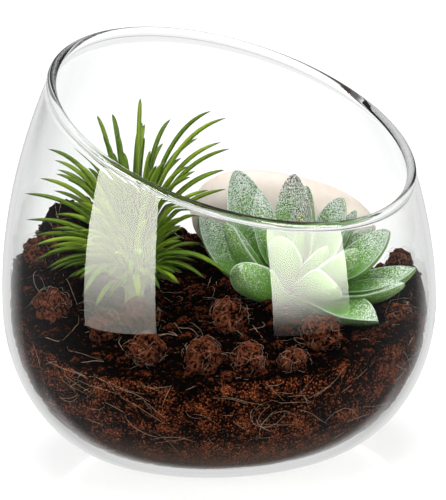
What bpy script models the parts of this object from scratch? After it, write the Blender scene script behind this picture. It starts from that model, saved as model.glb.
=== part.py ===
"""Terrarium in a slant-cut glass bowl: coir, a pebble, a grass tuft and a rosette succulent.

Lengths are in metres. The origin is the centre of the bowl's foot, +Z is up and -Y is the front.
"""

import math
import random

import bmesh
import bpy
from mathutils import Matrix, Vector, noise

MM = 0.001

# Glass bowl: a turned body, cut by a slanting plane
BODY_RADIUS = 75 * MM
FOOT_RADIUS = 32 * MM
BELLY_HEIGHT = 54 * MM
BELLY_FULLNESS = 2.0
BLANK_HEIGHT = 150 * MM
NECK_NARROWING = 28.2 * MM
NECK_CURVE = 1.95
WALL = 2.2 * MM
BASE_THICKNESS = 2.6 * MM
RIM_MIDDLE_HEIGHT = 120.3 * MM
RIM_SLOPE = 0.445
RIM_HIGH_SIDE = math.radians(131.7)
RIM_STEPS = 40
WALL_ROWS_BELOW = 7
WALL_ROWS_ABOVE = 6
BEAD_RADIUS = 1.7 * MM
BOWL_SIDES = 56
SLANT_BLOCK = 400 * MM

# Clearance between pieces that touch on the real thing. A seat grows by more than that, because
# its flat facets lie nearer to the piece than its corners.
GAP = 0.3 * MM
SEAT_GROWTH = 1.9 * GAP
HOLE_CLEARANCE = 2 * GAP
HOLE_REACH = 30 * MM
HOLE_SIDES = 20

# Coir bed: its level, its fall towards the front, and its mounds and one dip as (x, y, rise, spread)
BED_LEVEL = 51 * MM
FRONT_FALL = 9 * MM
FALL_START = 20 * MM
FALL_LENGTH = 50 * MM
MOUNDS = [
    (-59 * MM, 29 * MM, 21 * MM, 9 * MM),
    (-47 * MM, 42 * MM, 24 * MM, 12 * MM),
    (-27 * MM, 54 * MM, 15 * MM, 12 * MM),
    (-66 * MM, 0 * MM, 21 * MM, 13 * MM),
    (-58 * MM, -26 * MM, 5 * MM, 10 * MM),
    (66 * MM, 14 * MM, 9 * MM, 12 * MM),
    (-4 * MM, 60 * MM, 4 * MM, 14 * MM),
    (4 * MM, 60 * MM, 5 * MM, 24 * MM),
    (15 * MM, -21 * MM, 4 * MM, 6.5 * MM),
    (42 * MM, -22 * MM, -10 * MM, 10 * MM),
]
BED_UNDERSIDE = -5 * MM
BED_CELLS = 20
CRUMB_SIZE = 8 * MM
CRUMB_RISE = 2.6 * MM
CLOD_COUNT = 26
CLOD_SEED = 11
CLOD_RADII = (2.6 * MM, 4.8 * MM)
CLOD_SINK = 0.1
CLOD_ROUGHNESS = 0.22
CLOD_SIDES = 9
CLOD_ROWS = 5
CLOD_EDGE = 12 * MM

# Loose coir lumps, as (x, y, z, radius) of each
LUMPS = [
    (-38.6 * MM, -37 * MM, 54.5 * MM, 5.6 * MM),
    (-27 * MM, -27 * MM, 54 * MM, 7 * MM),
    (-24.6 * MM, -51 * MM, 49 * MM, 6.2 * MM),
    (-6 * MM, -57 * MM, 47.5 * MM, 6.6 * MM),
    (3.2 * MM, -31 * MM, 54.5 * MM, 6.4 * MM),
    (9 * MM, -58 * MM, 46.5 * MM, 5.6 * MM),
    (23.5 * MM, -58.5 * MM, 45 * MM, 5.2 * MM),
    (33 * MM, -45 * MM, 51 * MM, 7 * MM),
    (61 * MM, -21 * MM, 50 * MM, 4.6 * MM),
    (-56 * MM, -25 * MM, 59 * MM, 6.4 * MM),
    (-61 * MM, -2 * MM, 73 * MM, 6.8 * MM),
    (-44 * MM, 34 * MM, 77 * MM, 5.2 * MM),
    (64.5 * MM, 14 * MM, 60.5 * MM, 5.6 * MM),
]
LUMP_ROUGHNESS = 0.3
LUMP_GRAIN = 1.6
SEED_STEP = Vector((3.7, 1.9, 0.0))
FIRST_LUMP_SEED = 50
LUMP_SIDES = 11
LUMP_ROWS = 7

# River pebble, lying on its edge against the back wall
PEBBLE_CENTRE = Vector((24.5 * MM, 40 * MM, 71.5 * MM))
PEBBLE_HALF_SIZE = Vector((34 * MM, 12 * MM, 17.5 * MM))
PEBBLE_TILT = math.radians(12)
PEBBLE_SQUARENESS = 2.3
PEBBLE_NARROWING = 0.1
PEBBLE_SIDES = 22
PEBBLE_ROWS = 11

# Grass tuft: a short stem, and blades named by their tips (x, y, z) from the tuft's foot
TUFT_FOOT = Vector((-29 * MM, -8 * MM, 54 * MM))
TUFT_STEM_RADIUS = 4 * MM
TUFT_STEM_HEIGHT = 27 * MM
STEM_DEPTH = 12 * MM
STEM_SIDES = 12
STEM_TAPER = 0.6
BLADE_WIDTH = 2.5 * MM
BLADE_KEEL = 1.4 * MM
BLADE_WIDTH_SPREAD = 0.15
BLADE_SEED = 8
BLADE_SHARES = (0.0, 0.3, 0.58, 0.84)
# How a blade leaves the stem, bends over and tapers, as shares of the stem, its rise and its reach
BLADE_ROOT = 0.5
BLADE_ROOT_HEIGHT = 3 * MM
BLADE_ROOT_CLIMB = 0.28
BLADE_BEND_OUT = 0.34
BLADE_BEND_UP = 0.88
BLADE_BEND_LIFT = 0.08
BLADE_LEAST_BEND = 0.62
BLADE_TAPER = 0.7
BLADE_TIPS_MM = [
    (5, 2, 72), (-10, 0, 67), (-5, 8, 66), (-8, -6, 61), (-3, -4, 61), (5, 12, 62),
    (6, 8, 62), (15, 4, 64), (29, 6, 66), (34, 2, 64), (24, 10, 56), (32, 12, 54),
    (35, 4, 53), (32, 14, 44), (33, 8, 45), (33, 4, 39), (25, -6, 33), (25, -16, 12),
    (34, -20, 13), (16, -18, 11), (-18, 6, 56), (-27, 0, 56), (-26, 12, 50), (-25, 10, 47),
    (-25, 2, 47), (-31, 6, 45), (-36, 0, 41), (-27, 14, 39), (-35, -6, 33), (-28, -10, 24),
    (-30, -8, 21), (-34, -4, 18), (-29, -12, 17), (-8, -16, 7), (-13, -18, 4),
]
# Blades that fill the tuft: they are longer towards its crown, and shorter beside the rosette
FILL_BLADES = 42
FILL_SEED = 4
FILL_REACH = (26 * MM, 36 * MM)
FILL_CROWN_GROWTH = 0.5
FILL_HEIGHT = 6 * MM
FILL_LOWEST = math.radians(8)
FILL_SPREAD = math.radians(72)
FILL_WANDER = math.radians(6)
ROSETTE_SIDE = math.radians(75)
ROSETTE_SIDE_TOP = 0.6
ROSETTE_SIDE_REACH = 0.72
WALL_CLEARANCE = 2.5 * MM
COIR_CLEARANCE = 2 * MM
TIP_STEP = 0.94
GOLDEN_ANGLE = math.radians(137.5)

# Rosette succulent: leaves as tip (x, y, z) from its foot and width in millimetres, and roll in
# degrees, from the lowest on the stem to the highest
ROSETTE_FOOT = Vector((24.5 * MM, -8 * MM, 53 * MM))
ROSETTE_STEM_RADIUS = 4.5 * MM
ROSETTE_STEM_HEIGHT = 16 * MM
LOWEST_LEAF = 1.5 * MM
LEAF_CLIMB = 7 * MM
LEAF_ROOT = 0.3
LEAF_BEND_OUT = 0.66
LEAF_BEND_UP = 0.24
LEAF_SAG = 0.08
LEAF_THICKNESS = 0.29
LEAF_END_THICKNESS = 0.25
LEAF_FOLD = 0.36
LEAF_SHARES = (0.0, 0.3, 0.58, 0.8, 0.95)
LEAF_WIDEST = 0.58
LEAF_BASE = 0.52
LOW_LEAF_POINT = 1.2
HIGH_LEAF_POINT = 0.55
HIGH_LEAF = 20 * MM
# Across a leaf, as shares of its half width and its thickness: hollow above, keeled below
LEAF_SECTION = [
    (1.0, 0.0), (0.6, 0.04), (0.0, 0.0), (-0.6, 0.04),
    (-1.0, 0.0), (-0.72, -0.42), (0.0, -1.0), (0.72, -0.42),
]
LEAVES_MM = [
    (-7.5, 24, 18, 12, 0), (10.5, 25, 16, 12, 0), (26.5, 22, 12, 12, 0), (-17.5, -14, 17.5, 15, 45),
    (28.5, -21, -2.5, 14.5, 14), (38.5, -7, 7, 14, 10), (43.5, 3, 10, 14, 16), (-17.5, 19, 18, 12, 0),
    (-29.5, 8, 31, 18, -30), (34.5, 6, 23, 15, 24), (-17, 17, 44, 18, -20), (7.5, 20, 37, 10, 0),
    (29.5, 19, 22, 13, 0), (24, 18, 28, 9, 0), (19, 11, 34, 16, 15), (-20.5, -5, 31, 14, -12),
    (22.5, -9, 20, 14, -20), (15.5, -15, 9, 14, -60), (3, 11, 43, 14, 0), (-9.5, 10, 38, 9, -35),
    (7, 5.5, 35, 15, 0), (-3.5, -12, 26, 12.5, 0), (-8.5, -6, 29, 7, 10), (12.5, -8, 21, 9, -20),
    (4.5, -2, 32, 7, 0),
]


def clear_scene():
    for old in list(bpy.data.objects):
        bpy.data.objects.remove(old)


def new_collection(name, home=None):
    collection = bpy.data.collections.new(name)
    (home or bpy.context.scene.collection).children.link(collection)
    return collection


def new_object(name, mesh, collection):
    made = bpy.data.objects.new(name, mesh)
    collection.objects.link(made)
    return made


def finish(name, colour, roughness, transmission=0.0):
    """A Principled material."""
    material = bpy.data.materials.new(name)
    material.use_nodes = True
    shader = material.node_tree.nodes["Principled BSDF"]
    shader.inputs["Base Color"].default_value = (*colour, 1.0)
    shader.inputs["Roughness"].default_value = roughness
    shader.inputs["Metallic"].default_value = 0.0
    shader.inputs["Transmission Weight"].default_value = transmission
    return material


def set_aside(helper):
    """Marks a cutter or guide, which isn't part of the object."""
    helper.hide_render = True
    helper.display_type = "WIRE"
    return helper


def add_boolean(target, operation, other, solver="EXACT"):
    """A Boolean with an object or, for a Collection, with all of its objects."""
    boolean = target.modifiers.new(operation.lower(), "BOOLEAN")
    boolean.operation = operation
    boolean.solver = solver
    if isinstance(other, bpy.types.Collection):
        boolean.operand_type = "COLLECTION"
        boolean.collection = other
    else:
        boolean.object = other
    return boolean


def evaluated_mesh(source):
    bpy.context.view_layer.update()
    graph = bpy.context.evaluated_depsgraph_get()
    return bpy.data.meshes.new_from_object(source.evaluated_get(graph))


def as_mesh(curve_object, collection):
    """The same object as a mesh, with its caps welded, in place of the curve."""
    mesh = evaluated_mesh(curve_object)
    bm = bmesh.new()
    bm.from_mesh(mesh)
    bmesh.ops.remove_doubles(bm, verts=bm.verts, dist=0.01 * MM)
    bmesh.ops.recalc_face_normals(bm, faces=bm.faces)
    bm.to_mesh(mesh)
    bm.free()
    made = new_object(curve_object.name + "_mesh", mesh, collection)
    made.matrix_world = curve_object.matrix_world
    bpy.data.objects.remove(curve_object)
    return made


def shells(bm):
    """The faces of each shell. Shells that only share an edge are apart."""
    left = set(bm.faces)
    while left:
        shell, front = [], [left.pop()]
        while front:
            face = front.pop()
            shell.append(face)
            whole = [edge for edge in face.edges if len(edge.link_faces) == 2]
            beside = {f for edge in whole for f in edge.link_faces} & left
            left -= beside
            front.extend(beside)
        yield shell


def keep_outer_skin(mesh):
    """Drops the loose scraps and sealed hollows that a union leaves."""
    bm = bmesh.new()
    bm.from_mesh(mesh)
    bmesh.ops.triangulate(bm, faces=bm.faces)
    by_area = sorted(shells(bm), key=lambda shell: sum(f.calc_area() for f in shell))
    spare = [face for shell in by_area[:-1] for face in shell]
    bmesh.ops.delete(bm, geom=spare, context="FACES")
    bm.to_mesh(mesh)
    bm.free()


def fuse(base, pieces):
    """Joins a collection of pieces to their base with one union, and removes them."""
    add_boolean(base, "UNION", pieces, "MANIFOLD")
    mesh = evaluated_mesh(base)
    base.modifiers.clear()
    base.data = mesh
    keep_outer_skin(mesh)
    for piece in list(pieces.objects):
        bpy.data.objects.remove(piece)
    bpy.data.collections.remove(pieces)


def body_radius(z, inset=0.0, floor=0.0):
    """The bowl's outer radius at a height, or that of a surface inset from it above a floor."""
    if z >= BELLY_HEIGHT:
        share = (z - BELLY_HEIGHT) / (BLANK_HEIGHT - BELLY_HEIGHT)
        return BODY_RADIUS - inset - NECK_NARROWING * share**NECK_CURVE
    drop = min(1.0, (BELLY_HEIGHT - z) / (BELLY_HEIGHT - floor))
    bulge = (1.0 - drop**BELLY_FULLNESS) ** (1.0 / BELLY_FULLNESS)
    return FOOT_RADIUS + (BODY_RADIUS - inset - FOOT_RADIUS) * bulge


def wall_profile(inset, floor):
    """Points up a wall, from its foot to the blank's top, as (radius, height)."""
    heights = []
    for k in range(WALL_ROWS_BELOW):
        turn = k / WALL_ROWS_BELOW * math.pi / 2
        heights.append(BELLY_HEIGHT - (BELLY_HEIGHT - floor) * math.cos(turn))
    for k in range(WALL_ROWS_ABOVE + 1):
        heights.append(BELLY_HEIGHT + (BLANK_HEIGHT - BELLY_HEIGHT) * k / WALL_ROWS_ABOVE)
    return [(body_radius(z, inset, floor), z) for z in heights]


def turned(name, profile, sides, collection):
    """A profile of (radius, height) turned about Z."""
    mesh = bpy.data.meshes.new(name)
    points = [(radius, 0.0, height) for radius, height in profile]
    mesh.from_pydata(points, [(k, k + 1) for k in range(len(points) - 1)], [])
    made = new_object(name, mesh, collection)
    screw = made.modifiers.new("turn", "SCREW")
    screw.steps = screw.render_steps = sides
    screw.use_merge_vertices = True
    screw.merge_threshold = 0.01 * MM
    screw.use_smooth_shade = True
    return made


def rim_point(azimuth, inset):
    """Where the slanting plane meets the wall at this azimuth."""
    height = RIM_MIDDLE_HEIGHT
    for _ in range(RIM_STEPS):
        radius = body_radius(height, inset)
        plane = RIM_MIDDLE_HEIGHT + RIM_SLOPE * radius * math.cos(azimuth - RIM_HIGH_SIDE)
        height = (height + plane) / 2
    return Vector((radius * math.cos(azimuth), radius * math.sin(azimuth), height))


def slant_cutter(helpers):
    """A block over the slanting plane."""
    bpy.ops.mesh.primitive_cube_add(size=SLANT_BLOCK)
    cutter = bpy.context.object
    cutter.name = "slant_cutter"
    for home in list(cutter.users_collection):
        home.objects.unlink(cutter)
    helpers.objects.link(cutter)
    turn = Matrix.Rotation(RIM_HIGH_SIDE, 4, "Z") @ Matrix.Rotation(-math.atan(RIM_SLOPE), 4, "Y")
    lift = Matrix.Translation((0, 0, RIM_MIDDLE_HEIGHT))
    cutter.matrix_world = lift @ turn @ Matrix.Translation((0, 0, SLANT_BLOCK / 2))
    return set_aside(cutter)


def rim_bead(helpers):
    """The fire-polished bead that runs round the cut."""
    curve = bpy.data.curves.new("rim_bead", "CURVE")
    curve.dimensions = "3D"
    curve.bevel_depth = BEAD_RADIUS
    curve.bevel_resolution = 2
    spline = curve.splines.new("POLY")
    spline.points.add(BOWL_SIDES - 1)
    for k, point in enumerate(spline.points):
        # Half a step on, so that the bead's rings don't lie on the wall's edges
        azimuth = 2 * math.pi * (k + 0.5) / BOWL_SIDES
        point.co = (*rim_point(azimuth, WALL / 2), 1.0)
    spline.use_cyclic_u = True
    return set_aside(as_mesh(new_object("rim_bead", curve, helpers), helpers))


def build_bowl(parts, helpers):
    outer = wall_profile(0.0, 0.0)
    inner = wall_profile(WALL, BASE_THICKNESS)
    profile = [(0.0, BASE_THICKNESS)] + inner + outer[::-1] + [(0.0, 0.0)]
    bowl = turned("glass_bowl", profile, BOWL_SIDES, parts)
    add_boolean(bowl, "DIFFERENCE", slant_cutter(helpers))
    add_boolean(bowl, "UNION", rim_bead(helpers))
    bowl.data.materials.append(finish("clear_glass", (0.96, 0.98, 0.97), 0.02, 1.0))
    return bowl


def smooth_step(share):
    share = max(0.0, min(1.0, share))
    return share * share * (3 - 2 * share)


def bed_height(x, y):
    """The height of the coir's surface."""
    height = BED_LEVEL - FRONT_FALL * smooth_step((-y - FALL_START) / FALL_LENGTH)
    for mound_x, mound_y, rise, spread in MOUNDS:
        distance = math.hypot(x - mound_x, y - mound_y) / spread
        height += rise * math.exp(-distance * distance / 2)
    crumbs = noise.noise(Vector((x, y, 0.0)) / CRUMB_SIZE)
    return height + CRUMB_RISE * crumbs


def rough_ball(name, centre, radius, roughness, seed, sides, rows, collection):
    """A lump: a ball whose surface is pushed in and out by noise."""
    bm = bmesh.new()
    bmesh.ops.create_uvsphere(bm, u_segments=sides, v_segments=rows, radius=1.0)
    for vertex in bm.verts:
        push = noise.noise(vertex.co * LUMP_GRAIN + SEED_STEP * seed)
        vertex.co *= radius * (1.0 + roughness * push)
    bmesh.ops.triangulate(bm, faces=bm.faces)
    mesh = bpy.data.meshes.new(name)
    bm.to_mesh(mesh)
    bm.free()
    mesh.shade_smooth()
    ball = new_object(name, mesh, collection)
    ball.location = centre
    return ball


def coir_clods():
    """Small clods, half sunk in the surface all over the bed."""
    clods = new_collection("clods")
    draw = random.Random(CLOD_SEED)
    for k in range(CLOD_COUNT):
        reach = (BODY_RADIUS - CLOD_EDGE) * math.sqrt((k + 0.5) / CLOD_COUNT)
        azimuth = k * GOLDEN_ANGLE + draw.uniform(-0.3, 0.3)
        x, y = reach * math.cos(azimuth), reach * math.sin(azimuth)
        radius = draw.uniform(*CLOD_RADII)
        centre = Vector((x, y, bed_height(x, y) - CLOD_SINK * radius))
        rough_ball(f"clod_{k}", centre, radius, CLOD_ROUGHNESS, k, CLOD_SIDES, CLOD_ROWS, clods)
    return clods


def build_lumps(parts):
    brown = finish("coir_lump", (0.17, 0.055, 0.022), 0.95)
    lumps = []
    for k, (x, y, z, radius) in enumerate(LUMPS, 1):
        name, centre = f"coir_lump_{k:02d}", Vector((x, y, z))
        seed = k + FIRST_LUMP_SEED
        lump = rough_ball(name, centre, radius, LUMP_ROUGHNESS, seed, LUMP_SIDES, LUMP_ROWS, parts)
        lump.data.materials.append(brown)
        lumps.append(lump)
    return lumps


def build_pebble(parts):
    """A water-worn pebble: a ball a little squared, squashed to an egg fuller at one end."""
    bm = bmesh.new()
    bmesh.ops.create_uvsphere(bm, u_segments=PEBBLE_SIDES, v_segments=PEBBLE_ROWS, radius=1.0)
    for vertex in bm.verts:
        spread = sum(abs(value) ** PEBBLE_SQUARENESS for value in vertex.co)
        vertex.co /= spread ** (1.0 / PEBBLE_SQUARENESS)
        fuller = 1.0 - PEBBLE_NARROWING * vertex.co.x
        vertex.co.y *= fuller
        vertex.co.z *= fuller
        vertex.co = Vector(a * b for a, b in zip(vertex.co, PEBBLE_HALF_SIZE))
    mesh = bpy.data.meshes.new("river_pebble")
    bm.to_mesh(mesh)
    bm.free()
    mesh.shade_smooth()
    pebble = new_object("river_pebble", mesh, parts)
    pebble.location = PEBBLE_CENTRE
    pebble.rotation_euler = (0.0, PEBBLE_TILT, 0.0)
    mesh.materials.append(finish("pebble", (0.66, 0.55, 0.47), 0.6))
    return pebble


def seat_of(piece, seats):
    """A cutter in the piece's form, grown to leave a gap all round."""
    seat = new_object(piece.name + "_seat", piece.data.copy(), seats)
    bpy.context.view_layer.update()
    seat.matrix_world = piece.matrix_world
    half = [max(abs(v.co[axis]) for v in piece.data.vertices) for axis in range(3)]
    for vertex in seat.data.vertices:
        vertex.co = Vector(co * (1.0 + SEAT_GROWTH / size) for co, size in zip(vertex.co, half))
    return set_aside(seat)


def stem_hole(name, foot, radius, seats):
    """A plain round hole for a stem."""
    bm = bmesh.new()
    depth, wide = STEM_DEPTH + GAP, radius + HOLE_CLEARANCE
    bmesh.ops.create_cone(
        bm, cap_ends=True, segments=HOLE_SIDES, radius1=wide, radius2=wide, depth=depth + HOLE_REACH
    )
    mesh = bpy.data.meshes.new(name)
    bm.to_mesh(mesh)
    bm.free()
    hole = new_object(name, mesh, seats)
    hole.location = foot + Vector((0.0, 0.0, (HOLE_REACH - depth) / 2))
    return set_aside(hole)


def build_bed(parts, helpers, resting):
    """The coir: a block with a modelled surface, clods fused on, trimmed to the bowl's inside."""
    bm = bmesh.new()
    bmesh.ops.create_grid(bm, x_segments=BED_CELLS, y_segments=BED_CELLS, size=BODY_RADIUS + 2 * MM)
    for vertex in bm.verts:
        vertex.co.z = bed_height(vertex.co.x, vertex.co.y)
    skirt = bmesh.ops.extrude_face_region(bm, geom=list(bm.faces))["geom"]
    for item in skirt:
        if isinstance(item, bmesh.types.BMVert):
            item.co.z = BED_UNDERSIDE
    bmesh.ops.recalc_face_normals(bm, faces=bm.faces)
    mesh = bpy.data.meshes.new("coir_bed")
    bm.to_mesh(mesh)
    bm.free()
    bed = new_object("coir_bed", mesh, parts)
    fuse(bed, coir_clods())

    floor = BASE_THICKNESS + GAP
    wall = wall_profile(WALL + GAP, floor)
    profile = [(0.0, BLANK_HEIGHT)] + wall[::-1] + [(0.0, floor)]
    inside = set_aside(turned("bowl_inside", profile, BOWL_SIDES, helpers))
    # The exact solver leaves edges with four faces on this crumbly surface
    add_boolean(bed, "INTERSECT", inside, "MANIFOLD")

    seats = new_collection("seats", helpers)
    for piece in resting:
        seat_of(piece, seats)
    stem_hole("tuft_hole", TUFT_FOOT, TUFT_STEM_RADIUS, seats)
    stem_hole("rosette_hole", ROSETTE_FOOT, ROSETTE_STEM_RADIUS, seats)
    add_boolean(bed, "DIFFERENCE", seats, "MANIFOLD")
    mesh = evaluated_mesh(bed)
    bed.modifiers.clear()
    bed.data = mesh
    keep_outer_skin(mesh)
    mesh.materials.clear()
    mesh.materials.append(finish("coir", (0.13, 0.045, 0.02), 0.95))
    return bed


def loft(name, rings, tip, collection):
    """A closed body through rings of points, from a flat root to a point."""
    bm = bmesh.new()
    rows = [[bm.verts.new(point) for point in ring] for ring in rings]
    bm.faces.new(rows[0][::-1])
    for low, high in zip(rows, rows[1:]):
        for k in range(len(low)):
            after = (k + 1) % len(low)
            bm.faces.new((low[k], low[after], high[after], high[k]))
    end = bm.verts.new(tip)
    last = rows[-1]
    for k in range(len(last)):
        bm.faces.new((last[k], last[(k + 1) % len(last)], end))
    bmesh.ops.recalc_face_normals(bm, faces=bm.faces)
    mesh = bpy.data.meshes.new(name)
    bm.to_mesh(mesh)
    bm.free()
    return new_object(name, mesh, collection)


def arc_point(root, bend, tip, share):
    """A point of the arc from root to tip, pulled towards bend."""
    return root * (1 - share) ** 2 + bend * (2 * share * (1 - share)) + tip * share**2


def arc_frame(root, bend, tip, share):
    """Along, sideways and upwards at a point of the arc."""
    along = ((bend - root) * (1 - share) + (tip - bend) * share).normalized()
    side = Vector((0.0, 0.0, 1.0)).cross(tip - root)
    side = side.normalized() if side.length > 1e-6 else Vector((1.0, 0.0, 0.0))
    return along, side, along.cross(side).normalized()


def blade_arc(tip):
    """The root, bend and tip of a blade, from the tuft's foot: up first, then outwards."""
    outward = Vector((tip.x, tip.y, 0.0))
    reach = outward.length
    outward = outward / reach
    climb = BLADE_ROOT_HEIGHT + BLADE_ROOT_CLIMB * max(0.0, tip.z)
    root = outward * BLADE_ROOT * TUFT_STEM_RADIUS + Vector((0, 0, climb))
    rise = BLADE_BEND_UP * (tip.z - root.z) + BLADE_BEND_LIFT * reach
    rise = max(rise, BLADE_LEAST_BEND * reach)
    bend = root + outward * (BLADE_BEND_OUT * reach) + Vector((0, 0, rise))
    return root, bend, tip


def blade(name, tip, width, collection):
    """A keeled blade with three sides, of even width until it tapers to its tip."""
    root, bend, tip = blade_arc(tip)
    rings = []
    for share in BLADE_SHARES:
        along, side, up = arc_frame(root, bend, tip, share)
        centre = TUFT_FOOT + arc_point(root, bend, tip, share)
        taper = 1.0 - BLADE_TAPER * share**4
        half, keel = side * (width / 2 * taper), up * (BLADE_KEEL * taper)
        rings.append([centre - half, centre + half, centre - keel])
    loft(name, rings, TUFT_FOOT + tip, collection)


def in_the_open(point):
    """Whether a blade that ends here stays clear of the glass and of the coir."""
    if point.z < bed_height(point.x, point.y) + COIR_CLEARANCE:
        return False
    return math.hypot(point.x, point.y) < body_radius(point.z, WALL) - WALL_CLEARANCE


def fill_tips():
    """The tips of the blades that fill the tuft, on a spiral from its rim to its crown."""
    draw = random.Random(FILL_SEED)
    for k in range(FILL_BLADES):
        share = (k + 0.5) / FILL_BLADES
        azimuth = k * GOLDEN_ANGLE
        elevation = FILL_LOWEST + FILL_SPREAD * share + draw.uniform(-FILL_WANDER, FILL_WANDER)
        reach = draw.uniform(*FILL_REACH) * (1.0 + FILL_CROWN_GROWTH * share)
        if math.cos(azimuth) > math.cos(ROSETTE_SIDE) and share < ROSETTE_SIDE_TOP:
            reach *= ROSETTE_SIDE_REACH
        heading = Vector((math.cos(azimuth), math.sin(azimuth), 0.0)) * math.cos(elevation)
        heading.z = math.sin(elevation)
        tip = heading * reach + Vector((0, 0, FILL_HEIGHT))
        while not in_the_open(TUFT_FOOT + tip):
            tip *= TIP_STEP
        yield tip


def stem(name, foot, radius, height, collection):
    """A stem that stands in the coir and tapers upwards."""
    bm = bmesh.new()
    bmesh.ops.create_cone(
        bm, cap_ends=True, segments=STEM_SIDES, radius1=radius, radius2=STEM_TAPER * radius,
        depth=STEM_DEPTH + height,
    )
    mesh = bpy.data.meshes.new(name)
    bm.to_mesh(mesh)
    bm.free()
    made = new_object(name, mesh, collection)
    made.location = foot + Vector((0.0, 0.0, (height - STEM_DEPTH) / 2))
    return made


def build_tuft(parts):
    tuft = stem("grass_tuft", TUFT_FOOT, TUFT_STEM_RADIUS, TUFT_STEM_HEIGHT, parts)
    blades = new_collection("blades")
    tips = [Vector(tip) * MM for tip in BLADE_TIPS_MM] + list(fill_tips())
    draw = random.Random(BLADE_SEED)
    for k, tip in enumerate(tips):
        width = BLADE_WIDTH * (1.0 + draw.uniform(-BLADE_WIDTH_SPREAD, BLADE_WIDTH_SPREAD))
        blade(f"blade_{k}", tip, width, blades)
    fuse(tuft, blades)
    tuft.data.materials.clear()
    tuft.data.materials.append(finish("grass_green", (0.11, 0.22, 0.03), 0.5))
    return tuft


def leaf_arc(tip, climb):
    """The root, bend and tip of a leaf, from the rosette's foot: outwards first, then up."""
    outward = Vector((tip.x, tip.y, 0.0))
    reach = outward.length
    root = outward / reach * (LEAF_ROOT * ROSETTE_STEM_RADIUS)
    root.z = climb
    bend = root.lerp(tip, LEAF_BEND_OUT)
    bend.z = root.z + LEAF_BEND_UP * (tip.z - root.z) - LEAF_SAG * reach
    return root, bend, tip


def leaf_width(share, tip):
    """A leaf's width along its length, as a share of its most. Upright leaves are blunter."""
    if share < LEAF_WIDEST:
        return LEAF_BASE + (1.0 - LEAF_BASE) * smooth_step(share / LEAF_WIDEST)
    point = LOW_LEAF_POINT + (HIGH_LEAF_POINT - LOW_LEAF_POINT) * smooth_step(tip.z / HIGH_LEAF)
    return (1.0 - ((share - LEAF_WIDEST) / (1.0 - LEAF_WIDEST)) ** 2) ** point


def leaf(name, place, climb, collection):
    """A fleshy leaf like a narrow boat, whose rims stand higher than its middle."""
    x, y, z, width, roll = place
    root, bend, tip = leaf_arc(Vector((x, y, z)) * MM, climb)
    rings = []
    for share in LEAF_SHARES:
        along, side, up = arc_frame(root, bend, tip, share)
        turn = Matrix.Rotation(math.radians(roll) * smooth_step(share / LEAF_WIDEST), 3, along)
        side, up = turn @ side, turn @ up
        centre = ROSETTE_FOOT + arc_point(root, bend, tip, share)
        spread = leaf_width(share, tip)
        half = width * MM / 2 * spread
        deep = LEAF_THICKNESS * width * MM * (LEAF_END_THICKNESS + (1 - LEAF_END_THICKNESS) * spread)
        ring = []
        for u, v in LEAF_SECTION:
            ring.append(centre + side * (half * u) + up * (LEAF_FOLD * half * u * u + deep * v))
        rings.append(ring)
    loft(name, rings, ROSETTE_FOOT + tip, collection)


def build_rosette(parts):
    rosette = stem("succulent_rosette", ROSETTE_FOOT, ROSETTE_STEM_RADIUS, ROSETTE_STEM_HEIGHT, parts)
    leaves = new_collection("leaves")
    for k, place in enumerate(LEAVES_MM):
        climb = LOWEST_LEAF + LEAF_CLIMB * k / (len(LEAVES_MM) - 1)
        leaf(f"leaf_{k}", place, climb, leaves)
    fuse(rosette, leaves)
    rosette.data.materials.clear()
    rosette.data.materials.append(finish("leaf_green", (0.2, 0.42, 0.2), 0.7))
    return rosette


def main():
    clear_scene()
    parts = new_collection("terrarium")
    helpers = new_collection("cutters")
    build_bowl(parts, helpers)
    lumps = build_lumps(parts)
    pebble = build_pebble(parts)
    build_tuft(parts)
    build_rosette(parts)
    build_bed(parts, helpers, [*lumps, pebble])


main()
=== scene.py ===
"""Dresses the terrarium: clear blown glass, crumbly coir, a pebble, a grass tuft and a succulent.

Lengths are in metres. The origin is the centre of the bowl's foot, +Z is up and -Y is the front.
"""

import math
import random

import bmesh
import bpy
from bpy.props import FloatProperty, FloatVectorProperty, IntProperty, PointerProperty
from mathutils import Matrix, Vector, noise


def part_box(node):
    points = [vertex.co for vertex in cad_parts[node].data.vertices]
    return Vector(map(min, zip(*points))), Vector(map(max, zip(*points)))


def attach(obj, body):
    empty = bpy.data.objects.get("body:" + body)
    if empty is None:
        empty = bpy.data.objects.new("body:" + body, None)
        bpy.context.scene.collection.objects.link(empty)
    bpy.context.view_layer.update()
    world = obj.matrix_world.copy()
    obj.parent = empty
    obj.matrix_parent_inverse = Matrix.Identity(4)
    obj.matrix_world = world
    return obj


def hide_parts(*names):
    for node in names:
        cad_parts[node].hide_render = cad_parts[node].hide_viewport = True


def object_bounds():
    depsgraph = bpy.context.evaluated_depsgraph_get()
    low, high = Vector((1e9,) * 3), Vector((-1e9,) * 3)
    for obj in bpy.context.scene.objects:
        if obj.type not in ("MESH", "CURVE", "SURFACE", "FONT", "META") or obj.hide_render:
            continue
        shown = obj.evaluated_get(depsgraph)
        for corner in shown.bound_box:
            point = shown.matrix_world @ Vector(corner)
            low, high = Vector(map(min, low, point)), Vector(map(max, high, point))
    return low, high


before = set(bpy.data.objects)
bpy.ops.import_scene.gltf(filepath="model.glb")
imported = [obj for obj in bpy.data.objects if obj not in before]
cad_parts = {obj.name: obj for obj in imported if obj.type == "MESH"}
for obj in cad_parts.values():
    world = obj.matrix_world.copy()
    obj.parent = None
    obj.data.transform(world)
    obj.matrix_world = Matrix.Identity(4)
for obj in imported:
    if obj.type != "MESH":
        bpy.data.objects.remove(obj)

bl_info = {
    "name": "Terrarium",
    "version": (1, 0, 0),
    "blender": (4, 5, 0),
    "location": "3D View > Sidebar > Terrarium",
    "description": "Builds a planted glass bowl and the studio it stands in",
    "category": "Add Mesh",
}

MM = 0.001
CAD_BOX = [list(corner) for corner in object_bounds()]
GOLDEN_ANGLE = math.radians(137.5)
LIGHT_BOUNCES = 96

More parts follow.
